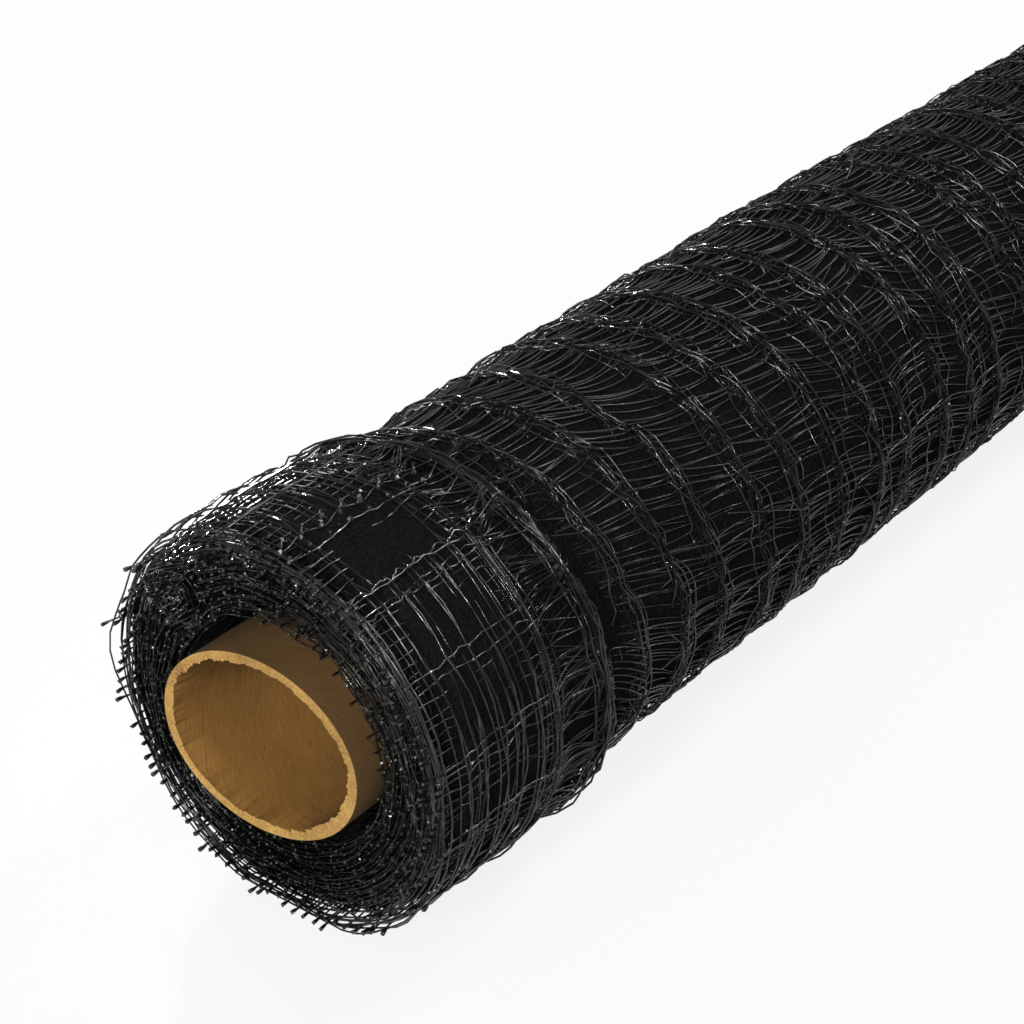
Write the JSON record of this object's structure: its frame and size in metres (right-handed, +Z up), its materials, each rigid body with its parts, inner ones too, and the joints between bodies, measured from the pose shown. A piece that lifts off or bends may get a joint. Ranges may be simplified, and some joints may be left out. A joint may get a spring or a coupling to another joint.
{
  "type": "roll of poultry netting",
  "caption": "Roll of black plastic mesh netting wound on a crushed paperboard core, lying on its side, with a loose, flared near end and a free outer edge.",
  "frame": {"origin": "on the floor under the middle of the whole roll's box", "axes": "+X along the roll from its open near end to its far end, +Z up, and the front with the free edge of the netting faces -Y"},
  "size_m": [0.614, 0.1192, 0.1145],
  "materials": {
    "core_board": "matt kraft paper",
    "netting": "satin",
    "netting_loose": "satin"
  },
  "bodies": {
    "root": {"core_tube": "core_board", "netting_roll": "netting", "loose_end": "netting_loose"}
  },
  "joints": []
}
